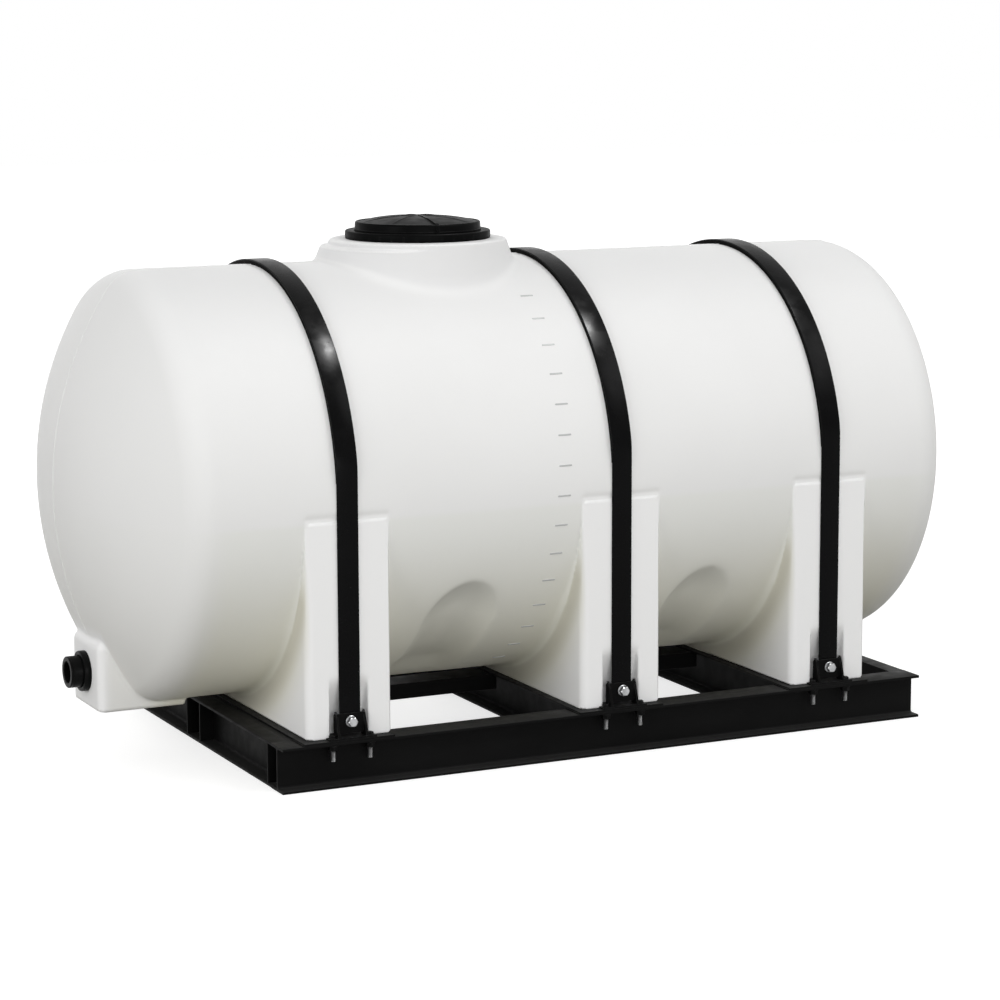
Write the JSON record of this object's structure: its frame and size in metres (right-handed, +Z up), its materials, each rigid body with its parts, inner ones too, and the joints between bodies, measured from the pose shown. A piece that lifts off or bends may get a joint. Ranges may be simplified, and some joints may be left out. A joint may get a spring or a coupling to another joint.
{
  "type": "horizontal leg tank",
  "caption": "Horizontal moulded plastic liquid tank on saddle legs, strapped to a steel skid, with a top manway and an end drain.",
  "frame": {"origin": "centre of the overall footprint at the underside of the skid", "axes": "+X along the tank, away from the drain end; +Y to the back; +Z up"},
  "size_m": [2.737, 1.278, 1.506],
  "materials": {
    "tank_plastic": "moulded white plastic, faint satin",
    "lid_plastic": "moulded black plastic",
    "fitting_plastic": "black plastic fitting",
    "mark_grey": "grey moulded marks",
    "band_steel": "black coated strap, semi-gloss",
    "pad_rubber": "black rubber strip",
    "bracket_steel": "black coated plate",
    "skid_steel": "black coated steel",
    "zinc_fasteners": "bright zinc"
  },
  "bodies": {
    "root": {"tank_barrel": "tank_plastic", "head_left": "tank_plastic", "head_right": "tank_plastic", "saddle_leg_1": "tank_plastic", "saddle_leg_2": "tank_plastic", "saddle_leg_3": "tank_plastic", "drain_sump": "tank_plastic", "outlet_flange": "fitting_plastic", "outlet_nozzle": "fitting_plastic", "manway_collar": "tank_plastic", "manway_ring": "lid_plastic", "manway_lid": "lid_plastic", "level_marks": "mark_grey", "band_1": "band_steel", "band_2": "band_steel", "band_3": "band_steel", "band_pads": "pad_rubber", "bracket_front_1": "bracket_steel", "bracket_front_2": "bracket_steel", "bracket_front_3": "bracket_steel", "bracket_back_1": "bracket_steel", "bracket_back_2": "bracket_steel", "bracket_back_3": "bracket_steel", "tension_bolts": "zinc_fasteners", "plate_studs": "zinc_fasteners", "leg_plate_1": "skid_steel", "leg_plate_2": "skid_steel", "leg_plate_3": "skid_steel", "beam_front": "skid_steel", "beam_back": "skid_steel", "end_channel_left": "skid_steel", "end_channel_right": "skid_steel", "cross_channel_1": "skid_steel", "cross_channel_2": "skid_steel", "cross_channel_3": "skid_steel", "centre_stringer": "skid_steel", "channel_stiffeners": "skid_steel"}
  },
  "joints": []
}
